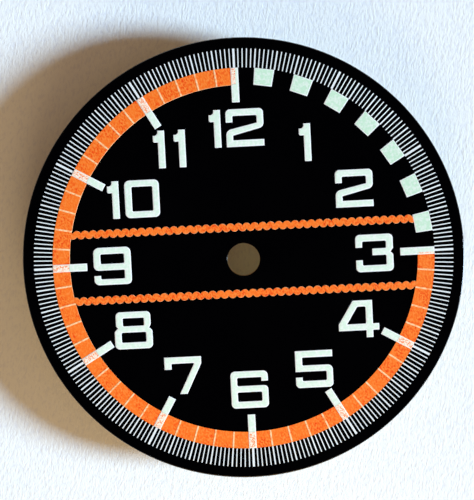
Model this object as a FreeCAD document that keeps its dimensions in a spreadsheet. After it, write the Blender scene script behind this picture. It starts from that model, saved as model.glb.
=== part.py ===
import FreeCAD, Part
import math
import operator
import os
import Sketcher

# A wristwatch dial: a thin round brass plate with a black lacquered face, a broken orange ring,
# two wavy orange stripes, a white minute track, ten hour bars, seven squares and the twelve
# hour numerals, with luminous paint on white ink, and two feet on the back.
# Frame: the origin is on the axis of the centre hole, on the plate's back face. +Z points out of
# the printed face, +Y to 12 o'clock and +X to 3 o'clock. Hours run clockwise seen from +Z.

os.makedirs("parts", exist_ok=True)
doc = FreeCAD.newDocument("watch_dial")
sheet = doc.addObject("Spreadsheet::Sheet", "Dims")

# Driving dimensions in millimetres and degrees.
driving_sizes = [
    # plate and lacquer
    ("dial_diameter", 28.5),
    ("hole_diameter", 2.1),
    ("plate_thickness", 0.4),
    ("plate_edge_radius", 0.05),
    ("lacquer_thickness", 0.03),
    ("lacquer_skirt_gap", 0.06),
    # feet
    ("foot_diameter", 0.75),
    ("foot_length", 2.2),
    ("foot_tip_chamfer", 0.1),
    ("foot_edge_distance", 1.55),
    ("foot_angle", 36),
    ("solder_width", 0.28),
    ("solder_height", 0.2),
    # ink and luminous paint
    ("underprint_thickness", 0.01),
    ("orange_thickness", 0.012),
    ("white_thickness", 0.01),
    ("lume_thickness", 0.01),
    ("lume_margin", 0.02),
    ("print_gap", 0.01),
    ("print_shift", 0.02),
    # minute track, inwards from the rim
    ("track_edge_distance", 0.717),
    ("track_line_length", 1.205),
    ("fine_line_width", 0.065),
    ("minute_line_width", 0.09),
    ("hour_line_width", 0.14),
    # orange ring, inwards from the track
    ("ring_width", 1.08),
    ("ring_line_width", 0.105),
    # hour bars
    ("bar_overhang", 1.128),
    ("bar_width", 0.485),
    # wavy stripes
    ("stripe_period", 0.5212),
    ("stripe_height", 0.51),
    ("stripe_margin", 0.015),
    ("stripe_valley_depth", 0.175),
    ("stripe_upper_phase", 0.026),
    ("stripe_lower_phase", 0.229),
    ("stripe_upper_drop", 0.021),
    ("stripe_lower_drop", 0.081),
    # numerals
    ("numeral_bar_distance", 0.4185),
    ("numeral_row_distance", 0.6587),
    ("numeral_choke", 0.014),
]
# What there is round the dial. The orange ring and the hour bars start at the first bar's hour.
hour_count = 12
first_bar_hour = 3
minutes_per_hour = 5
track_lines_per_minute = 5
square_count = 7


class Size:
    """A named size, or a sum of them: its expression in the sheet and its present value."""

    def __init__(self, text, value):
        self.text = text
        self.value = value

    def __add__(self, other):
        return joined(self, "+", other)

    def __radd__(self, other):
        return joined(other, "+", self)

    def __sub__(self, other):
        return joined(self, "-", other)

    def __rsub__(self, other):
        return joined(other, "-", self)

    def __mul__(self, other):
        return joined(self, "*", other)

    def __rmul__(self, other):
        return joined(other, "*", self)

    def __truediv__(self, other):
        return joined(self, "/", other)

    def __neg__(self):
        return joined(ZERO, "-", self)


ZERO = Size("0", 0.0)
FULL_TURN = Size("360", 360.0)
SIGNS = {"+": operator.add, "-": operator.sub, "*": operator.mul, "/": operator.truediv}


def joined(left, sign, right):
    """The sum, difference, product or quotient of two sizes, or of a size and a share."""
    if not isinstance(left, Size):
        left = Size(repr(left), left)
    if not isinstance(right, Size):
        right = Size(repr(right), right)
    return Size("(" + left.text + " " + sign + " " + right.text + ")", SIGNS[sign](left.value, right.value))


def sine(angle):
    return Size("sin(" + angle.text + " * 1 deg)", math.sin(math.radians(angle.value)))


def cosine(angle):
    return Size("cos(" + angle.text + " * 1 deg)", math.cos(math.radians(angle.value)))


named = {}
for row, (alias, number) in enumerate(driving_sizes, start=1):
    sheet.set("A" + str(row), alias)
    sheet.set("B" + str(row), str(number))
    sheet.setAlias("B" + str(row), alias)
doc.recompute()
for alias, number in driving_sizes:
    named[alias] = Size("Dims." + alias, float(getattr(sheet, alias)))

# Sizes worked out from the driving ones.
dial_radius = named["dial_diameter"] / 2
hole_radius = named["hole_diameter"] / 2
plate_radius = dial_radius - named["lacquer_thickness"]
face_height = named["plate_thickness"] + named["lacquer_thickness"]
orange_height = face_height + named["underprint_thickness"]
over_ring_height = orange_height + named["orange_thickness"]
bar_thickness = named["underprint_thickness"] + named["orange_thickness"] + named["white_thickness"]
bar_top_height = face_height + bar_thickness
white_top_height = face_height + named["white_thickness"]
foot_circle_radius = dial_radius - named["foot_edge_distance"]
hour_angle = FULL_TURN / hour_count
minute_angle = hour_angle / minutes_per_hour
track_angle = minute_angle / track_lines_per_minute
track_outer_radius = dial_radius - named["track_edge_distance"]
track_inner_radius = track_outer_radius - named["track_line_length"]
ring_outer_radius = track_inner_radius - named["print_gap"]
ring_inner_radius = ring_outer_radius - named["ring_width"]
bar_inner_radius = ring_inner_radius - named["bar_overhang"]
stripe_end_radius = ring_inner_radius - named["print_gap"]
underprint_end_radius = stripe_end_radius - 2 * named["print_shift"]

# The numerals reach out to the bars, and their rows at 1 and 2 o'clock keep a named distance, so
# their height follows from the two. Each stripe runs near the middle between two rows.
numeral_top_radius = bar_inner_radius - named["numeral_bar_distance"]
row_step = cosine(hour_angle) - sine(hour_angle)
numeral_size = (row_step * numeral_top_radius - named["numeral_row_distance"]) / (1 + row_step / 2)
numeral_circle_radius = numeral_top_radius - numeral_size / 2
row_middle = numeral_circle_radius * sine(hour_angle) / 2


def bind(item, path, size):
    """Ties one property of an object to the sheet."""
    item.setExpression(path, size.text)


def origin_plane(body, role):
    for feature in body.Origin.OriginFeatures:
        if feature.Role == role:
            return feature
    raise ValueError("no plane " + role)


def new_body(label, turn=None, shift_x=None, shift_y=None, height=None):
    """A body with its label, and its place where it isn't at the origin."""
    body = doc.addObject("PartDesign::Body", label)
    body.Label = label
    if turn is not None:
        body.Placement.Rotation = FreeCAD.Rotation(FreeCAD.Vector(0, 0, 1), turn.value)
        bind(body, "Placement.Rotation.Angle", turn)
    if shift_x is not None:
        bind(body, "Placement.Base.x", shift_x)
    if shift_y is not None:
        bind(body, "Placement.Base.y", shift_y)
    if height is not None:
        bind(body, "Placement.Base.z", height)
    return body


def sketch_on(body, name, role="XY_Plane", turn=None):
    """A sketch on one of the body's own origin planes, turned about the plane's normal."""
    sketch = body.newObject("Sketcher::SketchObject", body.Name + "_" + name)
    sketch.AttachmentSupport = [(origin_plane(body, role), "")]
    sketch.MapMode = "FlatFace"
    if turn is not None:
        axis = FreeCAD.Vector(0, 0, 1)
        sketch.AttachmentOffset = FreeCAD.Placement(FreeCAD.Vector(), FreeCAD.Rotation(axis, turn.value))
        bind(sketch, "AttachmentOffset.Rotation.Angle", turn)
    return sketch


def fix_length(sketch, kind, first, second, size):
    """Adds one length constraint between two points and ties it to the sheet."""
    if size.value < 0:
        first, second, size = second, first, -size
    row = sketch.addConstraint(Sketcher.Constraint(kind, *first, *second, size.value))
    bind(sketch, "Constraints[" + str(row) + "]", size)


def fix_point(sketch, geometry, end, x_size, y_size):
    """Places one point of a sketch from the sketch's origin."""
    if x_size.text == ZERO.text:
        sketch.addConstraint(Sketcher.Constraint("PointOnObject", geometry, end, -2))
    else:
        fix_length(sketch, "DistanceX", (-1, 1), (geometry, end), x_size)
    if y_size.text == ZERO.text:
        sketch.addConstraint(Sketcher.Constraint("PointOnObject", geometry, end, -1))
    else:
        fix_length(sketch, "DistanceY", (-1, 1), (geometry, end), y_size)


def draw_circle(sketch, radius):
    """A circle about the sketch's origin."""
    circle = Part.Circle(FreeCAD.Vector(), FreeCAD.Vector(0, 0, 1), radius.value)
    row = sketch.addGeometry(circle, False)
    sketch.addConstraint(Sketcher.Constraint("Coincident", row, 3, -1, 1))
    radius_row = sketch.addConstraint(Sketcher.Constraint("Radius", row, radius.value))
    bind(sketch, "Constraints[" + str(radius_row) + "]", radius)


def rounding(before, corner, after, radius):
    """Where a rounding of this radius starts and ends on a corner's two sides, and its centre."""
    inward = (corner - before).normalize()
    outward = (after - corner).normalize()
    half_turn = math.atan2(inward.cross(outward).z, inward.dot(outward)) / 2
    reach = radius * abs(math.tan(half_turn))
    start = corner - inward * reach
    end = corner + outward * reach
    side = math.copysign(radius, half_turn)
    centre = start + FreeCAD.Vector(-inward.y, inward.x, 0) * side
    return start, end, centre, half_turn


def draw_outline(sketch, corners):
    """A closed outline, counterclockwise, of corners given as x, y and a rounding or None."""
    points = [FreeCAD.Vector(x_size.value, y_size.value, 0) for x_size, y_size, radius in corners]
    count = len(corners)
    cut_corners = []
    for index, (x_size, y_size, radius) in enumerate(corners):
        before = points[index - 1]
        after = points[(index + 1) % count]
        if radius is None:
            cut_corners.append((points[index], points[index], None, 0))
        else:
            cut_corners.append(rounding(before, points[index], after, radius.value))
    sides = []
    for index in range(count):
        start = cut_corners[index][1]
        end = cut_corners[(index + 1) % count][0]
        sides.append(sketch.addGeometry(Part.LineSegment(start, end), False))
    for index, (x_size, y_size, radius) in enumerate(corners):
        side_in = sides[index - 1]
        side_out = sides[index]
        start, end, centre, half_turn = cut_corners[index]
        if radius is None:
            sketch.addConstraint(Sketcher.Constraint("Coincident", side_in, 2, side_out, 1))
            fix_point(sketch, side_out, 1, x_size, y_size)
            continue
        circle = Part.Circle(centre, FreeCAD.Vector(0, 0, 1), radius.value)
        first, last = (start, end) if half_turn > 0 else (end, start)
        first_angle = math.atan2(first.y - centre.y, first.x - centre.x)
        last_angle = math.atan2(last.y - centre.y, last.x - centre.x)
        arc = sketch.addGeometry(Part.ArcOfCircle(circle, first_angle, last_angle), False)
        in_end, out_end = (1, 2) if half_turn > 0 else (2, 1)
        sketch.addConstraint(Sketcher.Constraint("Tangent", side_in, 2, arc, in_end))
        sketch.addConstraint(Sketcher.Constraint("Tangent", arc, out_end, side_out, 1))
        row = sketch.addConstraint(Sketcher.Constraint("Radius", arc, radius.value))
        bind(sketch, "Constraints[" + str(row) + "]", radius)
        corner = sketch.addGeometry(Part.Point(points[index]), True)
        fix_point(sketch, corner, 1, x_size, y_size)
        sketch.addConstraint(Sketcher.Constraint("PointOnObject", corner, 1, side_in))
        sketch.addConstraint(Sketcher.Constraint("PointOnObject", corner, 1, side_out))


def draw_box(sketch, x_low, y_low, x_high, y_high):
    """A closed rectangle between two corners."""
    corners = [(x_low, y_low, None), (x_high, y_low, None), (x_high, y_high, None), (x_low, y_high, None)]
    draw_outline(sketch, corners)


def pad_on(body, name, sketch, height, reverse=False):
    """A straight pad of a sketch."""
    pad = body.newObject("PartDesign::Pad", body.Name + "_" + name)
    pad.Profile = sketch
    pad.Reversed = reverse
    bind(pad, "Length", height)
    return pad


def turned(body, name, sketch, angle):
    """A revolution of a sketch in the XZ plane about the dial's axis."""
    feature = body.newObject("PartDesign::Revolution", body.Name + "_" + name)
    feature.Profile = sketch
    feature.ReferenceAxis = (sketch, ["V_Axis"])
    bind(feature, "Angle", angle)
    return feature


def around(body, name, pads, angle, count):
    """Copies pads clockwise about the dial's axis, over an angle that holds both ends."""
    pattern = body.newObject("PartDesign::PolarPattern", body.Name + "_" + name)
    pattern.Originals = pads
    pattern.Axis = (pads[0].Profile[0], ["N_Axis"])
    pattern.Reversed = True
    bind(pattern, "Angle", angle)
    pattern.Occurrences = count
    body.Tip = pattern
    return pattern


# Plate: a blanked brass disc with its centre hole and a soft upper edge.
plate = new_body("dial_plate")
plate_sketch = sketch_on(plate, "outline")
draw_circle(plate_sketch, plate_radius)
draw_circle(plate_sketch, hole_radius)
plate_pad = pad_on(plate, "disc", plate_sketch, named["plate_thickness"])
doc.recompute()
plate_edge = None
for number, edge in enumerate(plate_pad.Shape.Edges, start=1):
    high = edge.BoundBox.ZMin > plate_pad.Shape.BoundBox.ZMax / 2
    wide = edge.BoundBox.XLength > plate_radius.value
    if high and wide:
        plate_edge = "Edge" + str(number)
plate_round = plate.newObject("PartDesign::Fillet", "dial_plate_edge")
plate_round.Base = (plate_pad, [plate_edge])
bind(plate_round, "Radius", named["plate_edge_radius"])

# Lacquer: a thin black coat on the face, over the soft edge and down the side.
lacquer = new_body("black_lacquer")
lacquer_sketch = sketch_on(lacquer, "section", "XZ_Plane")
lacquer_edge_radius = named["plate_edge_radius"] + named["lacquer_thickness"]
draw_outline(lacquer_sketch, [
    (hole_radius, named["plate_thickness"], None),
    (plate_radius, named["plate_thickness"], named["plate_edge_radius"]),
    (plate_radius, named["lacquer_skirt_gap"], None),
    (dial_radius, named["lacquer_skirt_gap"], None),
    (dial_radius, face_height, lacquer_edge_radius),
    (hole_radius, face_height, None),
])
turned(lacquer, "coat", lacquer_sketch, FULL_TURN)

# Feet: two copper pins soldered to the back on opposite sides, under the orange ring.
foot_radius = named["foot_diameter"] / 2
foot_names = ["upper", "lower"]
for index, foot_name in enumerate(foot_names):
    angle = named["foot_angle"] + index * FULL_TURN / len(foot_names)
    foot_x = foot_circle_radius * sine(angle)
    foot_y = foot_circle_radius * cosine(angle)
    foot = new_body("dial_foot_" + foot_name, shift_x=foot_x, shift_y=foot_y)
    foot_sketch = sketch_on(foot, "section")
    draw_circle(foot_sketch, foot_radius)
    foot_pad = pad_on(foot, "pin", foot_sketch, named["foot_length"], reverse=True)
    doc.recompute()
    tip_edge = None
    for number, edge in enumerate(foot_pad.Shape.Edges, start=1):
        if edge.BoundBox.ZMax < -foot_radius.value:
            tip_edge = "Edge" + str(number)
    tip = foot.newObject("PartDesign::Chamfer", foot.Name + "_tip")
    tip.Base = (foot_pad, [tip_edge])
    bind(tip, "Size", named["foot_tip_chamfer"])
    solder = new_body("foot_solder_" + foot_name, shift_x=foot_x, shift_y=foot_y)
    solder_sketch = sketch_on(solder, "section", "XZ_Plane")
    draw_outline(solder_sketch, [
        (foot_radius, -named["solder_height"], None),
        (foot_radius + named["solder_width"], ZERO, None),
        (foot_radius, ZERO, None),
    ])
    turned(solder, "fillet", solder_sketch, FULL_TURN)

# Orange ring: it runs clockwise from 3 o'clock round to 12 o'clock, on a white underprint that
# lies a little off to the lower right, so that white shows inside the ring at the upper left.
ring_turn = first_bar_hour * hour_angle
ring_sweep = FULL_TURN - ring_turn


def ring_body(label, outer_radius, bottom, height, shift):
    ring = new_body(label, ring_turn, shift, -shift)
    ring_sketch = sketch_on(ring, "section", "XZ_Plane")
    draw_box(ring_sketch, ring_inner_radius, bottom, outer_radius, bottom + height)
    turned(ring, "sweep", ring_sketch, ring_sweep)
    return ring


underprint_radius = ring_outer_radius - 2 * named["print_shift"]
ring_underprint = ring_body(
    "ring_underprint", underprint_radius, face_height, named["underprint_thickness"], named["print_shift"])
orange_ring = ring_body(
    "orange_ring", ring_outer_radius, orange_height, named["orange_thickness"], ZERO)

# Wavy stripes: round humps with sharp valleys, the upper humps half a period from the lower ones.
# One tile holds an upper hump between the halves of two lower ones. The row of tiles is cut round
# to the ring's inner edge. The underprint of a stripe shows a little above it and below it.
stripe_rise = named["stripe_height"] / 2
valley_depth = named["stripe_valley_depth"]
half_period = named["stripe_period"] / 2
hump_radius = (valley_depth + half_period * half_period / valley_depth) / 2
tile_share = 2.1
tile_half_count = math.ceil(ring_inner_radius.value * tile_share / 2 / named["stripe_period"].value)


def hump_arc(sketch, centre_x, centre_y, low_angle, high_angle):
    """An arc of a hump, counterclockwise between two angles in radians."""
    centre = FreeCAD.Vector(centre_x.value, centre_y.value, 0)
    circle = Part.Circle(centre, FreeCAD.Vector(0, 0, 1), hump_radius.value)
    arc = sketch.addGeometry(Part.ArcOfCircle(circle, low_angle, high_angle), False)
    row = sketch.addConstraint(Sketcher.Constraint("Radius", arc, hump_radius.value))
    bind(sketch, "Constraints[" + str(row) + "]", hump_radius)
    return arc


def stripe_body(label, phase, centre_y, rise, end_radius, bottom, height):
    stripe = new_body(label, height=bottom)
    sketch = sketch_on(stripe, "tile")
    left = phase - tile_half_count * named["stripe_period"]
    middle = left + half_period
    right = left + named["stripe_period"]
    crest = centre_y + rise
    trough = centre_y - rise
    upper_valley = crest - valley_depth
    lower_valley = trough + valley_depth
    valley_angle = math.asin(half_period.value / hump_radius.value)
    quarter = math.pi / 2
    top = hump_arc(sketch, middle, crest - hump_radius, quarter - valley_angle, quarter + valley_angle)
    low_left = hump_arc(sketch, left, trough + hump_radius, -quarter, valley_angle - quarter)
    low_right = hump_arc(sketch, right, trough + hump_radius, -quarter - valley_angle, -quarter)
    corner_left = FreeCAD.Vector(left.value, upper_valley.value, 0)
    base_left = FreeCAD.Vector(left.value, trough.value, 0)
    corner_right = FreeCAD.Vector(right.value, upper_valley.value, 0)
    base_right = FreeCAD.Vector(right.value, trough.value, 0)
    side_left = sketch.addGeometry(Part.LineSegment(corner_left, base_left), False)
    side_right = sketch.addGeometry(Part.LineSegment(base_right, corner_right), False)
    sketch.addConstraint(Sketcher.Constraint("Coincident", side_left, 2, low_left, 1))
    sketch.addConstraint(Sketcher.Constraint("Coincident", low_left, 2, low_right, 1))
    sketch.addConstraint(Sketcher.Constraint("Coincident", low_right, 2, side_right, 1))
    sketch.addConstraint(Sketcher.Constraint("Coincident", side_right, 2, top, 1))
    sketch.addConstraint(Sketcher.Constraint("Coincident", top, 2, side_left, 1))
    fix_point(sketch, side_left, 1, left, upper_valley)
    fix_point(sketch, side_left, 2, left, trough)
    fix_point(sketch, side_right, 1, right, trough)
    fix_point(sketch, side_right, 2, right, upper_valley)
    fix_point(sketch, low_left, 2, middle, lower_valley)
    tile = pad_on(stripe, "hump", sketch, height)
    row = stripe.newObject("PartDesign::LinearPattern", label + "_row")
    row.Originals = [tile]
    row.Direction = (sketch, ["H_Axis"])
    row.Occurrences = 2 * tile_half_count
    bind(row, "Length", (2 * tile_half_count - 1) * named["stripe_period"])
    stripe.Tip = row
    doc.recompute()
    cut_sketch = sketch_on(stripe, "end_cut")
    draw_circle(cut_sketch, end_radius)
    draw_circle(cut_sketch, dial_radius)
    cut = stripe.newObject("PartDesign::Pocket", label + "_end")
    cut.Profile = cut_sketch
    cut.Type = "ThroughAll"
    cut.Midplane = True
    stripe.Tip = cut
    doc.recompute()
    if cut.Shape.Volume >= row.Shape.Volume:
        raise RuntimeError(label + ": the ends were not cut")
    return stripe


stripe_places = [
    ("upper", named["stripe_upper_phase"], row_middle - named["stripe_upper_drop"]),
    ("lower", named["stripe_lower_phase"], -row_middle - named["stripe_lower_drop"]),
]
stripes = []
for place_name, phase, centre_y in stripe_places:
    stripes.append(stripe_body(
        "stripe_underprint_" + place_name, phase, centre_y, stripe_rise + named["stripe_margin"],
        underprint_end_radius, face_height, named["underprint_thickness"]))
    stripes.append(stripe_body(
        "orange_stripe_" + place_name, phase, centre_y, stripe_rise,
        stripe_end_radius, orange_height, named["orange_thickness"]))


# Radial lines: each line is drawn at 12 o'clock in a sketch turned clockwise to its place.
def line_pads(body, width, inner_radius, outer_radius, turns, height):
    pads = []
    for number, turn in enumerate(turns, start=1):
        sketch = sketch_on(body, "line_" + str(number), turn=-turn)
        draw_box(sketch, -(width / 2), inner_radius, width / 2, outer_radius)
        pads.append(pad_on(body, "stroke_" + str(number), sketch, height))
    return pads


def line_body(label, width, inner_radius, outer_radius, turns, bottom, height, sweep, count):
    lines = new_body(label, height=bottom)
    pads = line_pads(lines, width, inner_radius, outer_radius, turns, height)
    around(lines, "turn", pads, sweep, count)
    return lines


# Minute track: fine lines between minutes, a wider line at each minute and each hour.
fine_turns = [step * track_angle for step in range(1, track_lines_per_minute)]
minute_turns = [step * minute_angle for step in range(1, minutes_per_hour)]
fine_lines = line_body(
    "track_fine_lines", named["fine_line_width"], track_inner_radius, track_outer_radius, fine_turns,
    face_height, named["white_thickness"], FULL_TURN - minute_angle, hour_count * minutes_per_hour)
minute_lines = line_body(
    "track_minute_lines", named["minute_line_width"], track_inner_radius, track_outer_radius, minute_turns,
    face_height, named["white_thickness"], FULL_TURN - hour_angle, hour_count)
hour_lines = line_body(
    "track_hour_lines", named["hour_line_width"], track_inner_radius, track_outer_radius, [ZERO],
    face_height, named["white_thickness"], FULL_TURN - hour_angle, hour_count)

# Thin white lines across the orange ring, at each minute between the hour bars.
ring_turns = [turn + ring_turn for turn in minute_turns]
ring_lines = line_body(
    "ring_minute_lines", named["ring_line_width"], ring_inner_radius, ring_outer_radius, ring_turns,
    over_ring_height, named["white_thickness"], ring_sweep - hour_angle, hour_count - first_bar_hour)

# Hour bars: white ink from 3 o'clock round to 12, level over the orange ring that they cross.
bar_hours = range(first_bar_hour, hour_count + 1)
bar_blocks = new_body("hour_bar_blocks", height=face_height)
bar_pads = line_pads(
    bar_blocks, named["bar_width"], bar_inner_radius, ring_outer_radius, [ring_turn], bar_thickness)
around(bar_blocks, "turn", bar_pads, ring_sweep, len(bar_hours))
bars_on_underprint = doc.addObject("Part::Cut", "bars_on_underprint")
bars_on_underprint.Base = bar_blocks
bars_on_underprint.Tool = ring_underprint
bar_print = doc.addObject("Part::Cut", "hour_bar_print")
bar_print.Label = "hour_bar_print"
bar_print.Base = bars_on_underprint
bar_print.Tool = orange_ring

sub_parts = [
    plate, lacquer, ring_underprint, orange_ring, *stripes,
    fine_lines, minute_lines, hour_lines, ring_lines, bar_print,
]
for foot_name in foot_names:
    sub_parts.append(doc.getObject("dial_foot_" + foot_name))
    sub_parts.append(doc.getObject("foot_solder_" + foot_name))

# Luminous paint on each bar, inside a white border.
margin = named["lume_margin"]
for hour in bar_hours:
    turn = -(hour * hour_angle)
    bar_lume = new_body("hour_bar_lume_" + format(hour, "02d"), turn=turn, height=bar_top_height)
    lume_sketch = sketch_on(bar_lume, "outline")
    lume_half = named["bar_width"] / 2 - margin
    lume_low = bar_inner_radius + margin
    lume_high = ring_outer_radius - margin
    draw_box(lume_sketch, -lume_half, lume_low, lume_half, lume_high)
    pad_on(bar_lume, "paint", lume_sketch, named["lume_thickness"])
    sub_parts.append(bar_lume)

# Squares: between 12 and 3 o'clock, each one minute wide with a minute between them. Their sides
# are radial and their inner and outer edges straight.
half_minute = minute_angle / 2
square_step = 2 * minute_angle
square_start = minute_angle + half_minute


def square_corners(inner_radius, inset):
    """The four corners about 12 o'clock, with the two radial sides moved in by the inset."""
    inner_half = inner_radius * sine(half_minute) - inset
    outer_half = ring_outer_radius * sine(half_minute) - inset
    inner_y = inner_radius * cosine(half_minute)
    outer_y = ring_outer_radius * cosine(half_minute)
    return [
        (-inner_half, inner_y, None), (inner_half, inner_y, None),
        (outer_half, outer_y, None), (-outer_half, outer_y, None),
    ]


square_print = new_body("square_print", height=face_height)
square_sketch = sketch_on(square_print, "outline", turn=-square_start)
draw_outline(square_sketch, square_corners(ring_inner_radius, ZERO))
square_pad = pad_on(square_print, "ink", square_sketch, named["white_thickness"])
around(square_print, "turn", [square_pad], (square_count - 1) * square_step, square_count)
sub_parts.append(square_print)
for number in range(1, square_count + 1):
    turn = -(square_start + (number - 1) * square_step)
    square_lume = new_body("square_lume_" + str(number), turn=turn, height=white_top_height)
    lume_sketch = sketch_on(square_lume, "outline")
    draw_outline(lume_sketch, square_corners(ring_inner_radius + margin, margin))
    pad_on(square_lume, "paint", lume_sketch, named["lume_thickness"])
    sub_parts.append(square_lume)

# Numerals: outlines of the digits, counterclockwise, as shares of the numeral size. Each corner
# has its x and y from the lower left, and its rounding where it has one.
digit_shares = {
    "0": [
        [(0, 0, 0.135), (0.922, 0, 0.135), (0.922, 1, 0.135), (0, 1, 0.135)],
        [(0.196, 0.18, 0.03), (0.735, 0.18, 0.03), (0.735, 0.818, 0.03), (0.196, 0.818, 0.03)],
    ],
    "1": [
        [(0.126, 0), (0.315, 0), (0.315, 1), (0.126, 1), (0.126, 0.87, 0.085), (0, 0.87),
         (0, 0.68, 0.05), (0.126, 0.68)],
    ],
    "2": [
        [(0, 0), (1, 0), (1, 0.184), (0.188, 0.184), (0.188, 0.298), (1, 0.495, 0.15),
         (1, 1, 0.12), (0, 1, 0.12), (0, 0.645), (0.188, 0.645), (0.188, 0.812, 0.03),
         (0.812, 0.812, 0.03), (0.812, 0.62), (0, 0.446, 0.16)],
    ],
    "3": [
        [(0, 0, 0.12), (1, 0, 0.12), (1, 0.455, 0.08), (0.932, 0.52), (1, 0.61, 0.04),
         (1, 1, 0.12), (0, 1, 0.12), (0, 0.65), (0.188, 0.65), (0.188, 0.808, 0.03),
         (0.804, 0.808, 0.03), (0.804, 0.623, 0.03), (0.44, 0.623), (0.44, 0.434),
         (0.804, 0.434, 0.03), (0.804, 0.184, 0.03), (0.188, 0.184, 0.03), (0.188, 0.328),
         (0, 0.328)],
    ],
    "4": [
        [(0.727, 0), (0.918, 0), (0.918, 0.192), (1.082, 0.192), (1.082, 0.376),
         (0.918, 0.376), (0.918, 1), (0.396, 1, 0.04), (0, 0.376, 0.06), (0, 0.192),
         (0.727, 0.192)],
        [(0.237, 0.376), (0.727, 0.376, 0.03), (0.727, 0.824, 0.03), (0.515, 0.824, 0.05)],
    ],
    "5": [
        [(0, 0, 0.115), (1, 0, 0.12), (1, 0.609, 0.14), (0.196, 0.609, 0.02),
         (0.196, 0.811, 0.02), (1, 0.811), (1, 1), (0, 1), (0, 0.432), (0.82, 0.432, 0.03),
         (0.82, 0.193, 0.03), (0.188, 0.193, 0.03), (0.188, 0.292), (0, 0.292)],
    ],
    "6": [
        [(0, 0, 0.12), (1, 0, 0.12), (1, 0.606, 0.11), (0.184, 0.606, 0.03),
         (0.184, 0.817, 0.03), (0.814, 0.817, 0.02), (0.814, 0.711), (1, 0.711), (1, 1, 0.13),
         (0, 1, 0.12)],
        [(0.184, 0.187, 0.03), (0.82, 0.187, 0.03), (0.82, 0.427, 0.03), (0.184, 0.427, 0.03)],
    ],
    "7": [
        [(0.376, 0), (0.584, 0), (0.988, 0.805, 0.06), (0.988, 1), (0, 1), (0, 0.665),
         (0.196, 0.665), (0.196, 0.816, 0.02), (0.792, 0.816, 0.02)],
    ],
    "8": [
        [(0, 0, 0.13), (1.01, 0, 0.13), (1.01, 0.49, 0.08), (0.93, 0.562), (0.975, 0.64, 0.03),
         (0.975, 1, 0.12), (0.045, 1, 0.12), (0.045, 0.62, 0.03), (0.09, 0.562),
         (0, 0.48, 0.08)],
        [(0.19, 0.184, 0.03), (0.83, 0.184, 0.03), (0.83, 0.44, 0.03), (0.19, 0.44, 0.03)],
        [(0.238, 0.62, 0.03), (0.788, 0.62, 0.03), (0.788, 0.822, 0.03), (0.238, 0.822, 0.03)],
    ],
    "9": [
        [(0, 0, 0.14), (1, 0, 0.13), (1, 1, 0.15), (0, 1, 0.155), (0, 0.386, 0.13),
         (0.808, 0.386, 0.02), (0.808, 0.163, 0.02), (0.188, 0.163, 0.03), (0.188, 0.258),
         (0, 0.258)],
        [(0.195, 0.567, 0.03), (0.808, 0.567, 0.03), (0.808, 0.816, 0.03), (0.195, 0.816, 0.03)],
    ],
}
# The digits of each hour, and where each starts from the hour's point on the numeral circle.
numeral_shares = {
    1: [("1", -0.127)],
    2: [("2", -0.505)],
    3: [("3", -0.51)],
    4: [("4", -0.58)],
    5: [("5", -0.51)],
    6: [("6", -0.512)],
    7: [("7", -0.51)],
    8: [("8", -0.51)],
    9: [("9", -0.5)],
    10: [("1", -0.506), ("0", -0.049)],
    11: [("1", -0.498), ("1", 0.045)],
    12: [("1", -0.74), ("2", -0.298)],
}
baseline_share = -0.5


def share_of_size(share):
    """A share of the numeral size, or zero."""
    if share == 0:
        return ZERO
    return share * numeral_size


def extrusion_of(name, base, height):
    """A straight solid up from a flat outline."""
    solid = doc.addObject("Part::Extrusion", name)
    solid.Label = name
    solid.Base = base
    solid.DirMode = "Custom"
    solid.Dir = FreeCAD.Vector(0, 0, 1)
    solid.Solid = True
    bind(solid, "LengthFwd", height)
    return solid


def digit_face(name, digit, hour, start_share, height, choke):
    """The flat face of one digit at its place beside an hour's point, drawn in on all sides."""
    sketch = doc.addObject("Sketcher::SketchObject", name + "_outline")
    centre_x = numeral_circle_radius * sine(hour * hour_angle)
    centre_y = numeral_circle_radius * cosine(hour * hour_angle)
    bind(sketch, "Placement.Base.x", centre_x + start_share * numeral_size)
    bind(sketch, "Placement.Base.y", centre_y + baseline_share * numeral_size)
    bind(sketch, "Placement.Base.z", height)
    for outline_shares in digit_shares[digit]:
        corners = []
        for corner_shares in outline_shares:
            radius = share_of_size(corner_shares[2]) if len(corner_shares) > 2 else None
            corners.append((share_of_size(corner_shares[0]), share_of_size(corner_shares[1]), radius))
        draw_outline(sketch, corners)
    face = doc.addObject("Part::Face", name + "_face")
    face.Sources = [sketch]
    face.FaceMakerClass = "Part::FaceMakerBullseye"
    inset = doc.addObject("Part::Offset2D", name + "_inset")
    inset.Source = face
    inset.Join = "Arc"
    inset.Value = -choke.value
    bind(inset, "Value", -choke)
    return inset


# The numerals are printed a little finer than their outlines.
choke = named["numeral_choke"]
digit_prints = []
for hour, digits in numeral_shares.items():
    lumes = []
    numeral_name = "numeral_lume_" + format(hour, "02d")
    for number, (digit, start_share) in enumerate(digits, start=1):
        digit_name = "digit_" + format(hour, "02d") + "_" + str(number)
        print_face = digit_face(digit_name + "_print", digit, hour, start_share, face_height, choke)
        digit_prints.append(extrusion_of(digit_name + "_ink", print_face, named["white_thickness"]))
        lume_face = digit_face(
            digit_name + "_lume", digit, hour, start_share, white_top_height, choke + margin)
        lume_name = numeral_name if len(digits) == 1 else digit_name + "_paint"
        lumes.append(extrusion_of(lume_name, lume_face, named["lume_thickness"]))
    numeral_lume = lumes[0]
    if len(lumes) > 1:
        numeral_lume = doc.addObject("Part::Compound", numeral_name)
        numeral_lume.Label = numeral_name
        numeral_lume.Links = lumes
    sub_parts.append(numeral_lume)
numeral_print = doc.addObject("Part::Compound", "numeral_print")
numeral_print.Label = "numeral_print"
numeral_print.Links = digit_prints
sub_parts.append(numeral_print)

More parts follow.
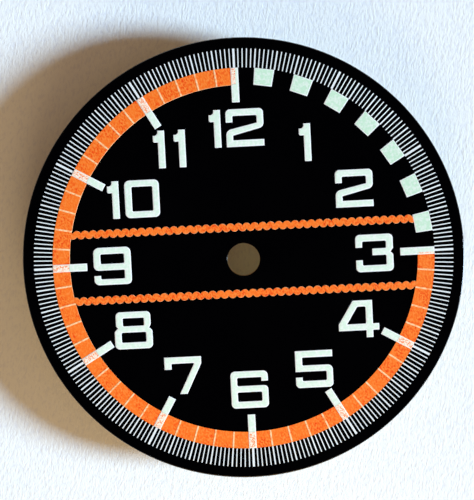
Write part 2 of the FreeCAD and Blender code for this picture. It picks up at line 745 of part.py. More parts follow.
doc.recompute()
for item in doc.Objects:
    if "Invalid" in item.State or "Error" in item.State:
        raise RuntimeError(item.Label + ": " + ", ".join(item.State))
for sub_part in sub_parts:
    shape = sub_part.Shape
    if shape.isNull() or not shape.isValid() or not shape.Solids or shape.Volume <= 0:
        raise RuntimeError(sub_part.Label + ": no valid solid")
for sub_part in sub_parts:
    sub_part.Shape.exportStep("parts/" + sub_part.Label + ".step")
    print(sub_part.Label, len(sub_part.Shape.Solids), round(sub_part.Shape.Volume, 5))
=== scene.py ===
import math

import bmesh
import bpy
from bpy.props import FloatProperty, FloatVectorProperty, IntProperty, PointerProperty
from bpy.types import Operator, Panel, PropertyGroup
from mathutils import Matrix, Vector, noise


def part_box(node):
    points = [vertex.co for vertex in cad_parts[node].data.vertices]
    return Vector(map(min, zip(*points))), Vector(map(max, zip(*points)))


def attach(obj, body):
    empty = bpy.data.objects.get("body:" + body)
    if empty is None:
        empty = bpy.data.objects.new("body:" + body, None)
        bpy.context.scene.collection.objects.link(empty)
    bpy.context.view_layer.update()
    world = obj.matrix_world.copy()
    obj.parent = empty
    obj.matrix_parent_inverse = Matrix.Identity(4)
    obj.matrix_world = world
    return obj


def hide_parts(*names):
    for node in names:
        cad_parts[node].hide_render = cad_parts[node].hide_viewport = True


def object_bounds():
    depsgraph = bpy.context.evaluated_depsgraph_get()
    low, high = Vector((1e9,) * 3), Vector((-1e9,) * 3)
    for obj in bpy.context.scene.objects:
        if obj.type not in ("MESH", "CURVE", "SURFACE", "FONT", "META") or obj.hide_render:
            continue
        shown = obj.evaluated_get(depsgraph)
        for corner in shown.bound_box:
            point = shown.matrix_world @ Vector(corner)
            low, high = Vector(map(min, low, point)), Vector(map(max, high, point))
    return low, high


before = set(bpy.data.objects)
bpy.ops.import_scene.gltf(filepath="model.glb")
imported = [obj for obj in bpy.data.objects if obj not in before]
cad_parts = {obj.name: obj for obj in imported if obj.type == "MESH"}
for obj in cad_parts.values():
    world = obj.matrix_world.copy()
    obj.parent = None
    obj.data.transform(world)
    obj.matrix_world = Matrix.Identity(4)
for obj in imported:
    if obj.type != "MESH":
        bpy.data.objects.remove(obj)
cad_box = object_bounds()

bl_info = {
    "name": "Watch dial finish",
    "version": (1, 0, 0),
    "blender": (4, 5, 0),
    "location": "View3D > Sidebar > Watch dial",
    "description": "Gives a packed watch dial its lacquer, inks, luminous paint and bare back, and its stage",
    "category": "Object",
}

MM = 0.001
BODY = "root"
# Points nearer than this are one point, and heights nearer than this are one height.
MERGE_DISTANCE = 0.0002 * MM
# Points of a shrinking corner are joined when they come this near.
CORNER_DISTANCE = 0.004 * MM
# Faces that turn less than the first are one flat face, and edges that turn more than the second are sharp.
FLAT_ANGLE = math.radians(0.5)
SHARP_ANGLE = math.radians(40.0)
# Shares of the luminous paint's height: full above the first, and so thin below the second that only the
# white ink under it shows.
FULL_PAINT = 0.98
THIN_PAINT = 0.6
# The lamp's power for a full share at the dial's centre, found by rendering the lamp alone with its grid.
LAMP_GAIN = 2.0
# The width of the camera's sensor in millimetres, and the nearest and farthest that the camera sees.
SENSOR_WIDTH = 36.0
CLIP_NEAR = 1.0 * MM
CLIP_FAR = 5000.0 * MM


def node_radii(name):
    """The smallest and largest distance from the dial's axis of a CAD node's points."""
    radii = [point.co.xy.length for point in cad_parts[name].data.vertices]
    return min(radii), max(radii)


def linear(hex_colour):
    """Turns an sRGB hex colour into linear red, green and blue."""
    channels = [int(hex_colour[start:start + 2], 16) / 255 for start in (1, 3, 5)]
    return tuple(
        channel / 12.92 if channel <= 0.04045 else ((channel + 0.055) / 1.055) ** 2.4 for channel in channels
    )


def colour(name, description, hex_colour):
    """A colour that the user can change."""
    return FloatVectorProperty(
        name=name, description=description, default=linear(hex_colour), size=3, min=0.0, max=1.0,
        subtype="COLOR",
    )


def length(name, description, millimetres, lowest=0.0):
    """A length that the user can change, given in millimetres and kept in metres."""
    return FloatProperty(
        name=name, description=description, default=millimetres * MM, min=lowest * MM, precision=5,
        unit="LENGTH",
    )


def angle(name, description, degrees):
    """An angle that the user can change, kept in radians."""
    return FloatProperty(name=name, description=description, default=math.radians(degrees), unit="ROTATION")


def number(name, description, value, lowest, highest):
    """A plain number that the user can change between two limits."""
    return FloatProperty(name=name, description=description, default=value, min=lowest, max=highest)


class DialShapes(PropertyGroup):
    """Sizes of the pieces that are modelled here, over the CAD frame."""

    rim_rounding: length("Rim rounding", "Radius of the lacquer where it rolls over the rim", 0.08)
    plate_rounding: length("Plate rounding", "Radius of the plate's edge under the lacquer", 0.05)
    hole_rounding: length("Hole rounding", "Radius of the lacquer's edge at the centre hole", 0.02)
    lacquer_steps: IntProperty(
        name="Lacquer steps", description="Steps round the lacquer coat", default=240, min=48, max=720
    )
    rounding_steps: IntProperty(
        name="Rounding steps", description="Faces across each rounded edge", default=4, min=1, max=8
    )
    paint_edge: length("Paint edge", "Width over which the luminous paint thins out to its edge", 0.07)
    paint_drop: number("Paint drop", "How far the paint sinks at its edge, of its thickness", 0.7, 0.05, 0.9)
    solder_steps: IntProperty(
        name="Solder steps", description="Steps round each solder fillet", default=72, min=24, max=256
    )
    flank_steps: IntProperty(
        name="Flank steps", description="Steps down the flank of each fillet", default=8, min=3, max=32
    )
    solder_hollow: number("Solder hollow", "How far the fillet is hollowed, of its width", 0.24, 0.0, 0.4)
    solder_lump: length("Solder lumps", "How far the frozen solder strays from a true fillet", 0.022)
    lump_width: length("Lump width", "Width of those lumps", 0.35)
    lump_level: number("Lump level", "Height in the lumps that leaves the fillet in place", 0.35, -1.0, 1.0)


class DialColours(PropertyGroup):
    """Colours of the dial's finishes."""

    lacquer: colour("Lacquer", "Black of the sprayed face", "#010102")
    lacquer_dull: colour("Lacquer, dull", "Black of the duller patches", "#020203")
    orange: colour("Orange ink", "Main orange of the ring and stripes", "#FD7F25")
    orange_thick: colour("Orange ink, thick", "Redder orange where the ink lies thick", "#F04A08")
    orange_thin: colour("Orange ink, thin", "Lighter orange where the pale ground shines through", "#FF9C50")
    white: colour("White ink", "Printed lines and borders", "#EAF7F8")
    white_thin: colour("White ink, thin", "Greyer white where the ink lies thin over the black", "#DCE6E4")
    cream: colour("White over orange", "White ink that the orange under it tints", "#FFD9A4")
    glow: colour("Luminous paint", "Bars and numerals", "#DAF6E2")
    glow_warm: colour("Luminous paint, warm", "Outer part of the bars, where they cross the ring", "#FFFBE6")
    glow_square: colour("Luminous squares", "Squares between 12 and 3 o'clock", "#C7EFD2")
    glow_thin: colour("Luminous paint, thin", "Where the white ink shows through the paint", "#FBFFFD")
    speck: colour("Paint specks", "Dark grains in the luminous paint", "#8FA59A")
    brass: colour("Brass", "Bare back of the plate", "#D2AC6A")
    tarnish: colour("Tarnish", "Brass that has dulled and browned", "#8E6A3A")
    heat_brown: colour("Heat mark", "Ring that the soldering browned round each foot", "#6E4526")
    copper: colour("Copper", "Feet", "#C98562")
    copper_brown: colour("Copper, browned", "Darker patches of the feet", "#7A4630")
    solder: colour("Solder", "Tin at the root of each foot", "#B9BBBB")
    flux: colour("Flux", "Brown stains on the solder", "#8A7358")
    paper: colour("Paper", "Sheet that the dial lies on", "#F2FDFD")
    # Partly the paper's own tone and partly painted shade: the dips between the fibres are drawn bluer and
    # darker, as the low light shades them.
    paper_dip_tone_and_shade: colour("Paper, dips", "Bluer tone between the paper's fibres", "#DBE8F4")


class DialPatterns(PropertyGroup):
    """Real sizes, directions and depths of the finishes' patterns."""

    peel_cell: length("Orange peel", "Width of the waves in the sprayed lacquer", 0.5)
    peel_depth: length("Orange peel depth", "Height of those waves", 0.004)
    spray_cloud: length("Spray clouds", "Size of the duller patches in the lacquer", 5.0)
    ink_grain: length("Ink grain", "Size of the specks in the orange ink", 0.11)
    ink_cloud: length("Ink clouds", "Size of the broad blotches in the orange ink", 0.7)
    pull_turn: angle("Pull direction", "Turn of the squeegee's pull from the way to 12 o'clock", 20.0)
    pull_stretch: number("Pull stretch", "Length of the orange specks, of their width", 1.6, 1.0, 10.0)
    orange_depth: length("Orange ink depth", "Height of the orange ink's grain", 0.002)
    line_gap: length("Line breaks", "Length of the thin places in the white ink", 0.22)
    white_depth: length("White ink depth", "Height of the white ink's unevenness", 0.003)
    paint_grain: length("Paint grain", "Size of the grains in the luminous paint, drawn coarse", 0.06)
    paint_cloud: length("Paint clouds", "Size of the uneven patches in the luminous paint", 0.17)
    paint_depth: length("Paint depth", "Height of the luminous paint's grains", 0.006)
    bleed_grain: length("Bleeding specks", "Size of the orange specks in the bars over the ring", 0.085)
    bleed_core: length("Bleeding core", "How far from a bar's middle the specks are at their strongest", 0.14)
    bleed_reach: length("Bleeding reach", "How far from a bar's middle the specks end", 0.22)
    ring_blur: length("Ring blur", "Width over which the ring's edge shows through the bars", 0.05)
    brush_width: length("Brush lines", "Width of the rolling lines on the brass", 0.04)
    brush_stretch: number("Brush stretch", "Length of the rolling lines, of their width", 50.0, 1.0, 500.0)
    brush_depth: length("Brush depth", "Depth of the rolling lines", 0.001)
    tarnish_cloud: length("Tarnish clouds", "Size of the tarnish patches", 3.5)
    heat_mark: length("Heat marks", "Radius at which the browned ring round each foot ends", 1.9)
    heat_core: length("Heat core", "Radius within which it is at its brownest", 0.76)
    facing_ring: length("Facing rings", "Pitch of the tool's rings on the feet", 0.3)
    facing_depth: length("Facing depth", "Depth of the tool's rings", 0.002)
    copper_cloud: length("Copper clouds", "Size of the browned patches on the feet", 0.4)
    crystal: length("Solder crystals", "Width of the crystals in the solder", 0.08)
    crystal_depth: length("Crystal depth", "Height of the crystals", 0.004)
    flux_stain: length("Flux stains", "Size of the stains on the solder", 0.25)
    fibre_width: length("Paper fibres", "Width of the ridges in the paper", 0.15)
    fibre_turn: angle("Fibre direction", "Turn of the ridges from the way to 12 o'clock", -14.0)
    fibre_stretch: number("Fibre stretch", "Length of the ridges, of their width", 2.4, 1.0, 10.0)
    fibre_depth: length("Fibre depth", "Height of the ridges", 0.03)


class DialStage(PropertyGroup):
    """The paper, the light and the camera."""

    floor_size: length("Floor", "Half of the paper's width", 1500.0)
    key_elevation: angle("Key height", "Height of the window light above the paper", 20.6)
    key_turn: angle("Key turn", "Direction of the window light, from the dial's 3 o'clock", -9.5)
    key_softness: angle("Key softness", "Width of the window as the dial sees it", 14.0)
    key_share: colour("Key light", "What the window light gives to a level white surface", "#C4DBF3")
    lamp_distance: length("Lamp distance", "How far in front of the dial the warm lamp stands", 60.0)
    lamp_height: length("Lamp height", "How far the lamp stands above the paper", 30.0)
    lamp_turn: angle("Lamp turn", "Direction of the lamp, from the dial's 3 o'clock", -90.0)
    diffuser_width: length("Diffuser width", "Width of the lamp's diffuser", 50.0)
    diffuser_height: length("Diffuser height", "Height of the lamp's diffuser", 30.0)
    lamp_aim: length("Lamp aim", "How far in front of the dial's centre the lamp points", 6.0)
    lamp_spread: angle("Lamp spread", "Width of the beam that the lamp's grid lets out", 60.0)
    lamp_share: colour("Lamp light", "What the lamp gives to a level white surface at the centre", "#705D44")
    room_share: colour("Room", "What the dim room gives to a level white surface", "#91735B")
    backdrop: colour("Backdrop", "Pale surroundings that the camera and the gloss see", "#E6EAEC")
    far_wall: colour("Far wall", "Dimmer side of the surroundings, away from the window", "#8E8C8A")
    ceiling: colour("Ceiling", "Dark part of the surroundings, straight above the dial", "#010101")
    ceiling_start: angle("Ceiling start", "Height above the horizon at which the walls turn dark", 25.0)
    ceiling_full: angle("Ceiling full", "Height above the horizon at which all is dark", 55.0)
    camera_x: length("Camera target X", "Where the camera's middle meets the face", -0.4, lowest=-20.0)
    camera_y: length("Camera target Y", "Where the camera's middle meets the face", 0.63, lowest=-20.0)
    camera_distance: length("Camera distance", "From the target to the camera", 107.73)
    camera_tilt: angle("Camera tilt", "How far the camera leans towards 12 o'clock", 4.07)
    camera_lean: angle("Camera lean", "Direction of that lean, from the dial's 3 o'clock", 88.5)
    camera_roll: angle("Camera roll", "How far the dial looks turned in the picture", 2.86)
    lens: FloatProperty(
        name="Lens", description="Focal length on a 36 mm sensor", default=120.29, unit="CAMERA"
    )


def add_node(tree, kind, inputs=None, **settings):
    """Adds a node to a tree, with its settings, and sets or links its inputs."""
    node = tree.nodes.new(kind)
    for name, value in settings.items():
        setattr(node, name, value)
    return set_inputs(tree, node, inputs or {})


def set_inputs(tree, node, inputs):
    """Sets a node's inputs, or links those that are given another node's output."""
    for name, value in inputs.items():
        if isinstance(value, bpy.types.NodeSocket):
            tree.links.new(value, node.inputs[name])
        else:
            node.inputs[name].default_value = value
    return node


def new_material(name):
    """A node material: itself, its tree, its coordinates on the object and its Principled shader."""
    material = bpy.data.materials.new(name)
    material.use_nodes = True
    tree = material.node_tree
    place = add_node(tree, "ShaderNodeTexCoord").outputs["Object"]
    return material, tree, place, tree.nodes["Principled BSDF"]


def rgba(values):
    """A colour with its alpha of 1."""
    return (*values, 1.0)


def mixed(tree, share, first, second):
    """The colour between two colours, by a share that runs over the surface."""
    # A colour mix has its two colours at inputs 6 and 7 and its result at output 2.
    node = add_node(
        tree, "ShaderNodeMix",
        {"Factor": share, 6: first if isinstance(first, bpy.types.NodeSocket) else rgba(first),
         7: second if isinstance(second, bpy.types.NodeSocket) else rgba(second)},
        data_type="RGBA",
    )
    return node.outputs[2]


def lacquer_material(colours, patterns):
    """The face and the rim."""
    # Sprayed and baked gloss lacquer: a deep black with wet reflections, which a faint orange peel bends.
    material, tree, place, surface = new_material("black_sprayed_lacquer")
    peel = add_node(
        tree, "ShaderNodeTexNoise", {"Vector": place, "Scale": 1 / patterns.peel_cell, "Detail": 1.0}
    )
    cloud = add_node(
        tree, "ShaderNodeTexNoise", {"Vector": place, "Scale": 1 / patterns.spray_cloud, "Detail": 2.0}
    )
    dullness = add_node(
        tree, "ShaderNodeMapRange",
        {"Value": cloud.outputs["Fac"], "From Min": 0.35, "From Max": 0.7, "To Min": 0.07, "To Max": 0.15},
    )
    relief = add_node(
        tree, "ShaderNodeBump", {"Height": peel.outputs["Fac"], "Distance": patterns.peel_depth}
    )
    set_inputs(tree, surface, {
        "Base Color": mixed(tree, cloud.outputs["Fac"], colours.lacquer, colours.lacquer_dull),
        "Roughness": dullness.outputs["Result"],
        "IOR": 1.5,
        "Normal": relief.outputs["Normal"],
    })
    return material


def orange_material(colours, patterns):
    """The ring and the stripes."""
    # Screen printed ink: flat and satin, with redder specks where the mesh left more of it, drawn out along
    # the pull of the squeegee, and paler ones where the white ground shines through.
    material, tree, place, surface = new_material("orange_screen_ink")
    pulled = add_node(
        tree, "ShaderNodeMapping",
        {"Vector": place, "Rotation": (0.0, 0.0, patterns.pull_turn),
         "Scale": (1.0, patterns.pull_stretch, 1.0)},
        vector_type="TEXTURE",
    )
    grain = add_node(
        tree, "ShaderNodeTexNoise",
        {"Vector": pulled.outputs["Vector"], "Scale": 1 / patterns.ink_grain, "Detail": 2.0,
         "Roughness": 0.6},
    )
    cloud = add_node(
        tree, "ShaderNodeTexNoise",
        {"Vector": pulled.outputs["Vector"], "Scale": 1 / patterns.ink_cloud, "Detail": 2.0},
    )
    patchy = add_node(
        tree, "ShaderNodeMapRange",
        {"Value": cloud.outputs["Fac"], "From Min": 0.4, "From Max": 0.58, "To Min": 0.25, "To Max": 1.0},
    )
    thick = add_node(
        tree, "ShaderNodeMapRange", {"Value": grain.outputs["Fac"], "From Min": 0.47, "From Max": 0.62}
    )
    thin = add_node(
        tree, "ShaderNodeMapRange",
        {"Value": grain.outputs["Fac"], "From Min": 0.48, "From Max": 0.34, "To Max": 0.5},
    )
    specks = add_node(
        tree, "ShaderNodeMath", {0: thick.outputs["Result"], 1: patchy.outputs["Result"]},
        operation="MULTIPLY",
    )
    lightened = mixed(tree, thin.outputs["Result"], colours.orange, colours.orange_thin)
    relief = add_node(
        tree, "ShaderNodeBump", {"Height": grain.outputs["Fac"], "Distance": patterns.orange_depth}
    )
    set_inputs(tree, surface, {
        "Base Color": mixed(tree, specks.outputs["Value"], lightened, colours.orange_thick),
        "Roughness": 0.5,
        "IOR": 1.5,
        "Specular IOR Level": 0.25,
        "Normal": relief.outputs["Normal"],
    })
    return material


def white_material(name, patterns, full, thin, break_start, break_full, most):
    """White ink: its full and its thin tone, where in the noise it thins, and how much at most."""
    # Screen printed white ink: bright and satin, a touch greyer where it lies thin over the black. Over the
    # orange it is cream, and nearly orange again where a line breaks up.
    material, tree, place, surface = new_material(name)
    grain = add_node(
        tree, "ShaderNodeTexNoise", {"Vector": place, "Scale": 1 / patterns.line_gap, "Detail": 3.0}
    )
    thinned = add_node(
        tree, "ShaderNodeMapRange",
        {"Value": grain.outputs["Fac"], "From Min": break_start, "From Max": break_full, "To Max": most},
    )
    relief = add_node(
        tree, "ShaderNodeBump", {"Height": grain.outputs["Fac"], "Distance": patterns.white_depth}
    )
    set_inputs(tree, surface, {
        "Base Color": mixed(tree, thinned.outputs["Result"], full, thin),
        "Roughness": 0.5,
        "IOR": 1.5,
        "Specular IOR Level": 0.25,
        "Normal": relief.outputs["Normal"],
    })
    return material


def luminous_material(name, node, base, colours, patterns):
    """The luminous paint of the patches that are as high as this node, and what a variant of it builds on."""
    # Luminous paint: crystals in a clear binder, so it is pale, dead matt and finely grained, with a few dark
    # specks and a soft unevenness where it settled. Towards its edge it thins out and the white ink under it
    # shows through. The grain is drawn about twice its real size.
    material, tree, place, surface = new_material(name)
    grain = add_node(
        tree, "ShaderNodeTexNoise", {"Vector": place, "Scale": 1 / patterns.paint_grain, "Detail": 2.0}
    )
    cloud = add_node(
        tree, "ShaderNodeTexNoise", {"Vector": place, "Scale": 1 / patterns.paint_cloud, "Detail": 3.0}
    )
    uneven = add_node(
        tree, "ShaderNodeMapRange",
        {"Value": cloud.outputs["Fac"], "From Min": 0.42, "From Max": 0.66, "To Max": 0.5},
    )
    low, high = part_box(node)
    height = add_node(tree, "ShaderNodeSeparateXYZ", {"Vector": place})
    thinned = add_node(
        tree, "ShaderNodeMapRange",
        {"Value": height.outputs["Z"], "From Min": low.z + (high.z - low.z) * FULL_PAINT,
         "From Max": low.z + (high.z - low.z) * THIN_PAINT},
    )
    thin = add_node(
        tree, "ShaderNodeMath", {0: uneven.outputs["Result"], 1: thinned.outputs["Result"]},
        operation="ADD", use_clamp=True,
    )
    specks = add_node(
        tree, "ShaderNodeMapRange",
        {"Value": grain.outputs["Fac"], "From Min": 0.68, "From Max": 0.8, "To Max": 0.5},
    )
    relief = add_node(
        tree, "ShaderNodeBump", {"Height": grain.outputs["Fac"], "Distance": patterns.paint_depth}
    )
    clouded = mixed(tree, thin.outputs["Value"], base, colours.glow_thin)
    grained = mixed(tree, specks.outputs["Result"], clouded, colours.speck)
    set_inputs(tree, surface, {
        "Base Color": grained,
        "Roughness": 0.8,
        "IOR": 1.5,
        "Specular IOR Level": 0.25,
        "Normal": relief.outputs["Normal"],
    })
    return material, tree, place, surface, grained


def bar_luminous_material(colours, patterns):
    """Luminous paint of the hour bars, with their outer part on the ring."""
    # Luminous paint again, warm white over the ring, where orange specks of the ink bleed through it along
    # its middle. The dark hair line is the ring's edge under the paint. At 12 and 3 o'clock the bar lies half
    # beside the ring.
    material, tree, place, surface, grained = luminous_material(
        "luminous_paint_bars", "hour_bar_lume_12", colours.glow, colours, patterns
    )
    ring_inner = node_radii("orange_ring")[0]
    hour = math.radians(30.0)
    # The ring ends under the middle of the bar at 12 o'clock, and starts under the lower half of that at 3.
    end_left, end_right = 0.02 * MM, 0.08 * MM
    start_low, start_high = -0.14 * MM, -0.06 * MM
    # The hair line's distance outside the ring's edge, half its width, and how much it darkens.
    hair_offset, hair_reach, hair_strength = 0.01 * MM, 0.028 * MM, 0.3
    axes = add_node(tree, "ShaderNodeSeparateXYZ", {"Vector": place})
    flat = add_node(tree, "ShaderNodeVectorMath", {0: place, 1: (1.0, 1.0, 0.0)}, operation="MULTIPLY")
    radius = add_node(tree, "ShaderNodeVectorMath", {0: flat.outputs["Vector"]}, operation="LENGTH")
    on_ring = add_node(
        tree, "ShaderNodeMapRange",
        {"Value": radius.outputs["Value"], "From Min": ring_inner,
         "From Max": ring_inner + patterns.ring_blur},
    )
    right = add_node(
        tree, "ShaderNodeMapRange",
        {"Value": axes.outputs["X"], "From Min": end_left, "From Max": end_right},
    )
    above = add_node(
        tree, "ShaderNodeMapRange",
        {"Value": axes.outputs["Y"], "From Min": start_low, "From Max": start_high},
    )
    beside = add_node(
        tree, "ShaderNodeMath", {0: right.outputs["Result"], 1: above.outputs["Result"]}, operation="MULTIPLY"
    )
    kept = add_node(tree, "ShaderNodeMath", {0: 1.0, 1: beside.outputs["Value"]}, operation="SUBTRACT")
    tinted = add_node(
        tree, "ShaderNodeMath", {0: on_ring.outputs["Result"], 1: kept.outputs["Value"]}, operation="MULTIPLY"
    )
    bearing = add_node(
        tree, "ShaderNodeMath", {0: axes.outputs["X"], 1: axes.outputs["Y"]}, operation="ARCTAN2"
    )
    turned = add_node(tree, "ShaderNodeMath", {0: bearing.outputs["Value"], 1: hour / 2}, operation="ADD")
    bar = add_node(tree, "ShaderNodeMath", {0: turned.outputs["Value"], 1: hour}, operation="SNAP")
    aside = add_node(
        tree, "ShaderNodeMath", {0: bearing.outputs["Value"], 1: bar.outputs["Value"]}, operation="SUBTRACT"
    )
    across = add_node(
        tree, "ShaderNodeMath", {0: aside.outputs["Value"], 1: radius.outputs["Value"]}, operation="MULTIPLY"
    )
    from_middle = add_node(tree, "ShaderNodeMath", {0: across.outputs["Value"]}, operation="ABSOLUTE")
    middle = add_node(
        tree, "ShaderNodeMapRange",
        {"Value": from_middle.outputs["Value"], "From Min": patterns.bleed_reach,
         "From Max": patterns.bleed_core},
    )
    ink = add_node(
        tree, "ShaderNodeTexNoise",
        {"Vector": place, "Scale": 1 / patterns.bleed_grain, "Detail": 2.0, "Roughness": 0.6},
    )
    bled = add_node(
        tree, "ShaderNodeMapRange",
        {"Value": ink.outputs["Fac"], "From Min": 0.45, "From Max": 0.6, "To Min": 0.03, "To Max": 0.9},
    )
    bleed = add_node(
        tree, "ShaderNodeMath", {0: bled.outputs["Result"], 1: middle.outputs["Result"]}, operation="MULTIPLY"
    )
    warm = mixed(tree, bleed.outputs["Value"], colours.glow_warm, colours.orange)
    on_line = add_node(
        tree, "ShaderNodeMath", {0: radius.outputs["Value"], 1: ring_inner + hair_offset, 2: hair_reach},
        operation="COMPARE",
    )
    hair = add_node(
        tree, "ShaderNodeMath", {0: on_line.outputs["Value"], 1: kept.outputs["Value"]}, operation="MULTIPLY"
    )
    hair_share = add_node(
        tree, "ShaderNodeMath", {0: hair.outputs["Value"], 1: hair_strength}, operation="MULTIPLY"
    )
    over_ring = mixed(tree, tinted.outputs["Value"], grained, warm)
    set_inputs(tree, surface, {
        "Base Color": mixed(tree, hair_share.outputs["Value"], over_ring, colours.speck)
    })
    return material


def brass_material(colours, patterns):
    """The plate's bare back and the wall of its hole."""
    # Rolled half-hard brass, stamped out and left bare: fine straight rolling lines, a brown tarnish in
    # clouds, and a browned ring round each foot from the soldering.
    material, tree, place, surface = new_material("rolled_brass")
    along = add_node(
        tree, "ShaderNodeMapping", {"Vector": place, "Scale": (1 / patterns.brush_stretch, 1.0, 1.0)}
    )
    lines = add_node(
        tree, "ShaderNodeTexNoise",
        {"Vector": along.outputs["Vector"], "Scale": 1 / patterns.brush_width, "Detail": 3.0},
    )
    cloud = add_node(
        tree, "ShaderNodeTexNoise",
        {"Vector": place, "Scale": 1 / patterns.tarnish_cloud, "Detail": 4.0, "Roughness": 0.6},
    )
    dulled = add_node(
        tree, "ShaderNodeMapRange",
        {"Value": cloud.outputs["Fac"], "From Min": 0.45, "From Max": 0.75, "To Min": 0.05, "To Max": 0.5},
    )
    tone = mixed(tree, dulled.outputs["Result"], colours.brass, colours.tarnish)
    for foot in ("dial_foot_upper", "dial_foot_lower"):
        low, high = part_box(foot)
        middle = ((low.x + high.x) / 2, (low.y + high.y) / 2, high.z)
        away = add_node(tree, "ShaderNodeVectorMath", {0: place, 1: middle}, operation="DISTANCE")
        heat = add_node(
            tree, "ShaderNodeMapRange",
            {"Value": away.outputs["Value"], "From Min": patterns.heat_mark, "From Max": patterns.heat_core,
             "To Max": 0.55},
            interpolation_type="SMOOTHSTEP",
        )
        tone = mixed(tree, heat.outputs["Result"], tone, colours.heat_brown)
    roughness = add_node(
        tree, "ShaderNodeMapRange",
        {"Value": lines.outputs["Fac"], "From Min": 0.3, "From Max": 0.7, "To Min": 0.26, "To Max": 0.42},
    )
    relief = add_node(
        tree, "ShaderNodeBump", {"Height": lines.outputs["Fac"], "Distance": patterns.brush_depth}
    )
    set_inputs(tree, surface, {
        "Base Color": tone,
        "Metallic": 1.0,
        "Roughness": roughness.outputs["Result"],
        "Normal": relief.outputs["Normal"],
    })
    return material


def copper_material(colours, patterns):
    """The feet."""
    # Drawn copper wire, cut and faced: fine rings round the foot from the facing tool, browned a little.
    material, tree, place, surface = new_material("drawn_copper")
    rings = add_node(
        tree, "ShaderNodeTexWave",
        {"Vector": place, "Scale": 1 / patterns.facing_ring, "Distortion": 0.6, "Detail": 2.0},
        wave_type="BANDS", bands_direction="Z",
    )
    cloud = add_node(
        tree, "ShaderNodeTexNoise", {"Vector": place, "Scale": 1 / patterns.copper_cloud, "Detail": 3.0}
    )
    browned = add_node(
        tree, "ShaderNodeMapRange",
        {"Value": cloud.outputs["Fac"], "From Min": 0.45, "From Max": 0.75, "To Max": 0.6},
    )
    relief = add_node(
        tree, "ShaderNodeBump", {"Height": rings.outputs["Fac"], "Distance": patterns.facing_depth}
    )
    set_inputs(tree, surface, {
        "Base Color": mixed(tree, browned.outputs["Result"], colours.copper, colours.copper_brown),
        "Metallic": 1.0,
        "Roughness": 0.32,
        "Normal": relief.outputs["Normal"],
    })
    return material


def solder_material(colours, patterns):
    """The fillet at the root of each foot."""
    # Tin solder that froze bright and then dulled: grey, softly crystalline, with brown flux stains.
    material, tree, place, surface = new_material("tin_solder")
    crystals = add_node(tree, "ShaderNodeTexVoronoi", {"Vector": place, "Scale": 1 / patterns.crystal})
    stain = add_node(
        tree, "ShaderNodeTexNoise", {"Vector": place, "Scale": 1 / patterns.flux_stain, "Detail": 3.0}
    )
    stained = add_node(
        tree, "ShaderNodeMapRange",
        {"Value": stain.outputs["Fac"], "From Min": 0.5, "From Max": 0.75, "To Max": 0.5},
    )
    roughness = add_node(
        tree, "ShaderNodeMapRange",
        {"Value": stain.outputs["Fac"], "From Min": 0.3, "From Max": 0.7, "To Min": 0.22, "To Max": 0.45},
    )
    relief = add_node(
        tree, "ShaderNodeBump", {"Height": crystals.outputs["Distance"], "Distance": patterns.crystal_depth}
    )
    set_inputs(tree, surface, {
        "Base Color": mixed(tree, stained.outputs["Result"], colours.solder, colours.flux),
        "Metallic": 1.0,
        "Roughness": roughness.outputs["Result"],
        "Normal": relief.outputs["Normal"],
    })
    return material


def paper_material(colours, patterns):
    """The sheet under the dial, which lets a camera below it see through."""
    # Uncoated drawing paper: matt and pale, with short soft ridges where the fibres lie, all much one way,
    # which the low light picks out. The dips between the ridges get a slightly bluer, darker tone that is
    # partly the paper's own tone and partly painted shade, standing in for the shade that the low light puts
    # in them.
    material, tree, place, surface = new_material("uncoated_paper")
    laid = add_node(
        tree, "ShaderNodeMapping",
        {"Vector": place, "Rotation": (0.0, 0.0, patterns.fibre_turn),
         "Scale": (1.0, patterns.fibre_stretch, 1.0)},
        vector_type="TEXTURE",
    )
    fibres = add_node(
        tree, "ShaderNodeTexNoise",
        {"Vector": laid.outputs["Vector"], "Scale": 1 / patterns.fibre_width, "Detail": 3.0, "Roughness": 0.6,
         "Distortion": 0.2},
    )
    # Painted shade in part: the low points of the same noise that raises the ridges get the bluer, darker
    # tone.
    dip_tone_and_shade = add_node(
        tree, "ShaderNodeMapRange",
        {"Value": fibres.outputs["Fac"], "From Min": 0.52, "From Max": 0.34, "To Max": 0.45},
    )
    relief = add_node(
        tree, "ShaderNodeBump", {"Height": fibres.outputs["Fac"], "Distance": patterns.fibre_depth}
    )
    set_inputs(tree, surface, {
        "Base Color": mixed(tree, dip_tone_and_shade.outputs["Result"], colours.paper, colours.paper_dip_tone_and_shade),
        "Roughness": 0.9,
        "IOR": 1.5,
        "Normal": relief.outputs["Normal"],
    })
    side = add_node(tree, "ShaderNodeNewGeometry")
    clear = add_node(tree, "ShaderNodeBsdfTransparent")
    sheet = add_node(
        tree, "ShaderNodeMixShader",
        {0: side.outputs["Backfacing"], 1: surface.outputs["BSDF"], 2: clear.outputs["BSDF"]},
    )
    tree.links.new(sheet.outputs["Shader"], tree.nodes["Material Output"].inputs["Surface"])
    return material


def dress(names, material):
    """Gives CAD nodes a finish in place of the one they came with."""
    for name in names:
        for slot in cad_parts[name].material_slots:
            slot.material = material


def add_piece(name, shape, material, replaced):
    """Makes a closed bmesh a piece of the dial that stands for CAD nodes."""
    loose = [edge for edge in shape.edges if not edge.is_manifold]
    if loose:
        raise RuntimeError(f"{name} isn't closed: {len(loose)} of its edges don't join two faces")
    mesh = bpy.data.meshes.new(name)
    shape.to_mesh(mesh)
    shape.free()
    # A copy of a CAD node brings its old normals, which don't fit the new shape.
    old_normals = mesh.attributes.get("custom_normal")
    if old_normals:
        mesh.attributes.remove(old_normals)
    mesh.materials.clear()
    mesh.materials.append(material)
    mesh.shade_smooth()
    mesh.set_sharp_from_angle(angle=SHARP_ANGLE)
    piece = bpy.data.objects.new(name, mesh)
    bpy.context.scene.collection.objects.link(piece)
    flat_faces = piece.modifiers.new("flat_faces", "WEIGHTED_NORMAL")
    flat_faces.keep_sharp = True
    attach(piece, BODY)
    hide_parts(*replaced)


